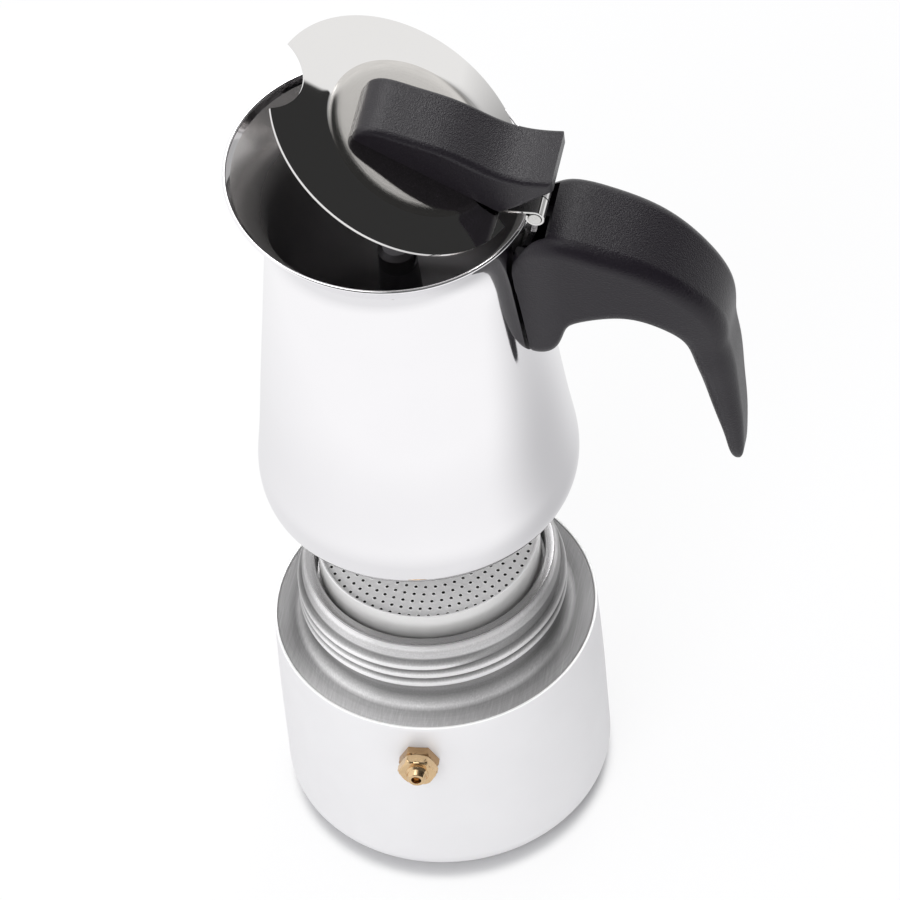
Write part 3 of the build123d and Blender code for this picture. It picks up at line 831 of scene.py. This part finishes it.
def build_jug():
    """The jug's wall, with one finish outside and one inside."""
    wall = add_object("jug_wall", jug_mesh(), "jug", JUG_STEEL)
    wall.data.materials.append(JUG_INSIDE_PAINTED_SHADE)
    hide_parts("jug_shell")


# ---------------------------------------------------------------- lid
def lid_place():
    """From the lid's own axes (X from the hinge to the pouring lip, Z its normal) to where it stands."""
    along = Vector((-cos(LID_OPEN), 0, sin(LID_OPEN)))
    normal = Vector((sin(LID_OPEN), 0, cos(LID_OPEN)))
    across = normal.cross(along)
    place = Matrix((along, across, normal)).transposed().to_4x4()
    place.translation = HINGE
    return place


LID_R = 40.2
LID_CENTRE = 44.6  # from the hinge axis, as are the heights below
BRIM_TOP = -3.1
BRIM_FALL = 1.0
BOSS_R = 25.5
BOSS_FOOT = 26.5
BOSS_RISE = 0.6
BOSS_STEP = 1.1  # how gently the middle meets the brim
NOTCH_R = 14.9
NOTCH_AT = 45.7  # from the lid's centre
TAB_HALF = 9.5
CURL_R = 2.4  # middle of the sheet that wraps round the pin
RELIEF_HALF = 12.7
FOLD_X = 9.5


def lid_edge():
    """The lid's outline as (angle, reach) from its centre, angle 0 towards the pouring lip."""
    edge = []
    corner = acos((LID_R**2 + NOTCH_AT**2 - NOTCH_R**2) / (2 * LID_R * NOTCH_AT))
    notch_corner = atan2(LID_R * sin(corner), NOTCH_AT - LID_R * cos(corner))
    for a in np.linspace(-notch_corner, notch_corner, 41):
        x, y = NOTCH_AT - NOTCH_R * cos(a), NOTCH_R * sin(a)
        edge.append((atan2(y, x), hypot(x, y)))
    fold = LID_CENTRE - FOLD_X
    relief = atan2(RELIEF_HALF, -fold)
    side = pi - asin(RELIEF_HALF / LID_R) - 0.02
    arc = [(a, LID_R) for a in np.linspace(corner, side, 90)[1:]]
    straight = [(atan2(y, -fold), hypot(fold, y)) for y in np.linspace(RELIEF_HALF - 0.6, 0, 12)]
    half = arc + [(max(relief - 0.004, side + 0.004), hypot(fold, RELIEF_HALF))] + straight
    edge += half
    edge += [(tau - a, reach) for a, reach in reversed(half[:-1])]
    return edge


def lid_height(x, y):
    """Top of the sheet: the middle stands a little up, and the brim falls from its foot to the edge."""
    from_boss = x - BOSS_CENTRE
    apart = LID_CENTRE - BOSS_CENTRE
    wide = LID_R - BOSS_FOOT
    a = wide**2 - apart**2
    b = 2 * BOSS_FOOT * wide + 2 * from_boss * apart
    c = BOSS_FOOT**2 - from_boss**2 - y**2
    share = (max(b * b - 4 * a * c, 0.0) ** 0.5 - b) / (2 * a)
    step = 0.5 - 0.5 * np.tanh((hypot(from_boss, y) - (BOSS_R + BOSS_FOOT) / 2) / BOSS_STEP)
    return BRIM_TOP - BRIM_FALL * min(1.0, max(0.0, share)) ** 1.06 + BOSS_RISE * step


def lid_sheet():
    """Disc with a raised middle, a gently falling brim, the notch and the folded tab's root."""
    edge = lid_edge()
    radii = [0.4, 4, 8, 12, 16, 19, 21, 22.5, 23.6, 24.3, 24.8, 25.2, 25.6, 26.0, 26.4, 26.8, 27.2, 27.7]
    rows = [[(BOSS_CENTRE + r * cos(a), r * sin(a)) for a, reach in edge] for r in radii]
    last = rows[-1]
    for share in np.linspace(0, 1, 12)[1:]:
        row = []
        for (x, y), (a, reach) in zip(last, edge):
            out_x, out_y = LID_CENTRE + reach * cos(a), reach * sin(a)
            row.append((x + share * (out_x - x), y + share * (out_y - y)))
        rows.append(row)
    top = [[(x, y, lid_height(x, y)) for x, y in row] for row in rows]
    under = [[(x, y, z - SHEET) for x, y, z in row] for row in reversed(top)]
    skins = top + under
    columns = len(edge)
    points = [p for row in skins for p in row]
    faces = ring_faces(len(skins), columns, False)
    faces.append(tuple(range(columns)))
    faces.append(tuple(range((len(skins) - 1) * columns, len(skins) * columns)))
    mesh = mesh_from("lid_sheet", points, faces, 50)
    for face in mesh.polygons:
        away = hypot(face.center.x / MM - BOSS_CENTRE, face.center.y / MM)
        face.material_index = int(away < BOSS_FOOT and face.normal.z > 0.5)
    return mesh


def lid_tab():
    """Tongue that rises from the sheet and curls round the pin, with a gap in the middle for the knuckle."""
    half = SHEET / 2
    root = (FOLD_X + 0.6, lid_height(FOLD_X, TAB_HALF / 2) - half + 0.02)
    reach = hypot(*root)
    heading = atan2(-root[1], -root[0]) - asin(CURL_R / reach)
    run = (reach**2 - CURL_R**2) ** 0.5
    steps = [run * share for share in np.linspace(0.06, 1, 7)]
    climb = [(root[0] + s * cos(heading), root[1] + s * sin(heading)) for s in steps]
    start = atan2(climb[-1][1], climb[-1][0])
    turns = np.linspace(start, start + radians(300), 30)[1:]
    curl = [(CURL_R * cos(a), CURL_R * sin(a)) for a in turns]
    line = np.array([(FOLD_X + 2.4, root[1]), (FOLD_X + 1.4, root[1]), *climb, *curl])
    ahead = np.gradient(line, axis=0)
    ahead /= np.linalg.norm(ahead, axis=1)[:, None]
    side = np.stack([-ahead[:, 1], ahead[:, 0]], axis=1)
    upper, lower = line + side * half, line - side * half

    def strip(name, y_low, y_high, count):
        """The first points of the tongue's side view as a strip from y_low to y_high, with softened edges."""
        loop = list(upper[:count]) + list(lower[:count][::-1])
        size = len(loop)
        inset = 0.12
        slices = [(y_low, inset), (y_low + inset, 0), (y_high - inset, 0), (y_high, inset)]
        points = []
        for y, pinch in slices:
            for k, (x, z) in enumerate(loop):
                i = k if k < count else 2 * count - 1 - k
                mx, mz = line[i]
                share = 1 - pinch / half
                points.append((mx + (x - mx) * share, y, mz + (z - mz) * share))
        faces = ring_faces(len(slices), size, False)
        for i in (0, len(slices) - 1):
            for k in range(count - 1):
                a, b = i * size + k, i * size + size - 1 - k
                faces.append((a, a + 1, b - 1, b))
        return mesh_from(name, points, faces, 40)

    gap = 2.9  # half the knuckle's room
    root_points = 6  # of the line, as far as the middle of the tongue goes
    strips = [strip("tab_side", low, high, len(line)) for low, high in ((-TAB_HALF, -gap), (gap, TAB_HALF))]
    strips.append(strip("tab_middle", -gap - 0.05, gap + 0.05, root_points))
    return strips


def build_lid():
    """Sheet and tab in one piece; the raised middle has its own finish."""
    mesh = pieced("lid_pressed", [lid_sheet(), *lid_tab()])
    mesh.transform(lid_place())
    cover = add_object("lid_pressed", mesh, "lid", LID_STEEL)
    cover.data.materials.append(BOSS_STEEL)
    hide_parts("lid")


# ---------------------------------------------------------------- finishes of the solids that stay
def dress(material, *names, bevel=0.0):
    """Give solids of the frame a finish, and a soft edge where bevel says how wide."""
    for name in names:
        obj = parts[name]
        obj.data.materials.clear()
        obj.data.materials.append(material)
        obj.data.shade_smooth()
        obj.data.set_sharp_from_angle(angle=radians(30))
        if bevel:
            edge = obj.modifiers.new("soft edges", "BEVEL")
            edge.width = bevel * MM
            edge.segments = 3
            edge.limit_method = "ANGLE"
            edge.angle_limit = radians(35)
            edge.harden_normals = True


def dress_solids():
    """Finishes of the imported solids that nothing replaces."""
    dress(BRASS, "valve_nut", bevel=0.18)
    dress(BRASS, "valve_plug", "valve_poppet")
    dress(RUBBER, "valve_seal", "gasket")
    dress(SCREW_STEEL, "valve_spring", "handle_nut", "handle_screw", "knob_screws")
    dress(PIN_STEEL, "hinge_pin", bevel=0.2)
    dress(SCREW_STEEL, "handle_bracket", bevel=0.2)
    dress(FUNNEL_STEEL, "funnel_grid", "funnel_stem")
    dress(NECK_STEEL, "thread_ring")
    # these three carry painted shade for the inside of the jug
    dress(INNER_SHADE_STEEL, "jug_floor")
    dress(RISER_SHADE_STEEL, "riser_tube")
    dress(CAP_SHADE_STEEL, "riser_cap")
    dress(HANDLE_GRIP, "handle")
    dress(KNOB_GRIP, "lid_knob")


# ---------------------------------------------------------------- studio
DARK_SIDE = (0.306, -0.723, 0.619)
GREY_SIDE = (0.749, -0.149, -0.646)


def studio_world():
    """White room for the camera and plain light; shiny pieces see a dark front half and a grey low side."""
    world = bpy.data.worlds.new("studio")
    scene.world = world
    world.use_nodes = True
    world.node_tree.nodes.clear()
    made = Nodes(world.node_tree)

    def sideness(direction, low, high):
        """0 where a ray runs less than low along a direction, 1 above high."""
        feeds = {0: made.add("TexCoord").outputs["Generated"], 1: direction}
        along = made.add("VectorMath", feeds, operation="DOT_PRODUCT").outputs["Value"]
        return made.ramp(along, low, high)

    path = made.add("LightPath").outputs
    board = made.math("MULTIPLY", sideness(DARK_SIDE, 0.008, 0.013), sideness((1, 0, 0), 0.2, 0.34))
    room = made.blend(sideness(GREY_SIDE, 0.045, 0.125), 1.0, 0.42)
    room = made.blend(board, room, 0.036)
    room = made.blend(sideness(DARK_SIDE, 0.5, 0.7), room, 0.12)
    room = made.blend(path["Is Glossy Ray"], 0.86, room)
    room = made.blend(path["Is Camera Ray"], room, 1.0)
    light = made.add("Background", {"Color": room})
    made.add("OutputWorld", {0: light.outputs[0]})


def studio_floor():
    """Pale floor: a painted shadow round the pot's foot adds to the rendered one, it glows further out, and
    painted shade tones its reflections.
    """
    half = 6.0  # metres
    low = cad_low.z - 0.0001
    corners = [(-half, -half, low), (half, -half, low), (half, half, low), (-half, half, low)]
    mesh = bpy.data.meshes.new("studio_floor")
    mesh.from_pydata(corners, [], [(0, 1, 2, 3)])
    floor = bpy.data.objects.new("studio_floor", mesh)
    scene.collection.objects.link(floor)
    made = Finish("pale floor", (0.97, 0.97, 0.97), 0.0, 0.9, Specular_IOR_Level=0.0)
    path = made.add("LightPath").outputs
    camera, glossy = path["Is Camera Ray"], path["Is Glossy Ray"]

    def away(x, y):
        """Metres along the floor from a spot."""
        feeds = {0: made.where(), 1: (x, y, low)}
        return made.add("VectorMath", feeds, operation="DISTANCE").outputs["Value"]

    foot = away(0.0005, -0.003)  # the shadow is a little wider at the front
    # painted shadow: the floor's colour darkens round the pot's foot
    made.two_tone(made.soft_ramp(foot, 0.0455, 0.0520), (0.56, 0.56, 0.57), (0.97, 0.97, 0.97))
    # reflections: painted shade makes the floor grey round the pot, paler further out, with a darker painted
    # patch on the handle's side
    outside = made.math("MULTIPLY_ADD", glossy, made.ramp(away(0, 0), 0.17, 0.29), camera, use_clamp=True)
    tone = made.blend(outside, (0.79, 0.79, 0.80), (0.965, 0.965, 0.97))
    painted_shade_patch = made.math("MULTIPLY", made.soft_ramp(away(0.175, 0.06), 0.21, 0.02), glossy)
    tone = made.blend(painted_shade_patch, tone, (0.49, 0.49, 0.50))
    # how much of the floor is its own even light, for each kind of ray
    glow = made.math("MULTIPLY", camera, made.soft_ramp(foot, 0.0465, 0.0515, 0.0, 0.85))
    glow = made.math("MULTIPLY_ADD", glossy, 0.9, glow)
    glow = made.math("MULTIPLY_ADD", path["Is Transmission Ray"], 0.75, glow, use_clamp=True)
    lit = made.add("Emission", {"Color": tone}).outputs[0]
    mix = made.add("MixShader", {0: glow, 1: made.shader.outputs[0], 2: lit})
    made.feed(made.tree.nodes["Material Output"].inputs["Surface"], mix.outputs[0])
    mesh.materials.append(made.material)


def soft_lamp(name, place, aim, size, power):
    """A square lamp at a place, turned towards its aim."""
    data = bpy.data.lights.new(name, "AREA")
    data.size = size
    data.energy = power
    lamp = bpy.data.objects.new(name, data)
    lamp.location = place
    lamp.rotation_mode = "QUATERNION"
    lamp.rotation_quaternion = (Vector(aim) - Vector(place)).to_track_quat("-Z", "Y")
    scene.collection.objects.link(lamp)
    return lamp


def studio_camera():
    """Long lens from above, turned a little about its own axis."""
    azimuth, elevation, roll = radians(15.5), radians(48.7), radians(6.0)
    view_width = 900.0
    focal = 8000.0  # in the units of view_width
    distance = 2.423  # metres
    aim = Vector((0, 0, SHOULDER_Z * MM))
    aim_across, aim_down = 435.8, 603.0  # where the aim stands in the view, from its upper left corner
    level = Vector((cos(azimuth), sin(azimuth), 0))
    ahead = Vector((-sin(azimuth) * cos(elevation), cos(azimuth) * cos(elevation), -sin(elevation)))
    plumb = -level.cross(ahead)
    right = cos(roll) * level + sin(roll) * plumb
    down = -sin(roll) * level + cos(roll) * plumb
    across = (aim_across - view_width / 2) / focal * distance
    below = (aim_down - view_width / 2) / focal * distance
    place = aim - (across * right + below * down + distance * ahead)
    data = bpy.data.cameras.new("studio_camera")
    data.sensor_width = 36
    data.lens = data.sensor_width * focal / view_width
    data.clip_end = 50
    camera = bpy.data.objects.new("studio_camera", data)
    turn = Matrix((right, -down, -ahead)).transposed()
    camera.matrix_world = Matrix.Translation(place) @ turn.to_4x4()
    scene.collection.objects.link(camera)
    scene.camera = camera


build_boiler()
build_valve()
build_funnel()
build_filter()
build_jug()
build_lid()
dress_solids()
studio_world()
studio_floor()
studio_camera()
# place, aim and size in metres, power in watts
soft_lamp("key_lamp", (0.16, 1.50, 1.97), (0, 0, 0.20), 0.6, 6)
soft_lamp("fill_lamp", (-0.20, -1.30, 1.25), (0, 0, 0.10), 0.9, 12).visible_glossy = False
soft_lamp("top_lamp", (-0.30, -0.15, 2.2), (0, 0, 0.10), 1.1, 8)
scene.view_settings.view_transform = "Standard"
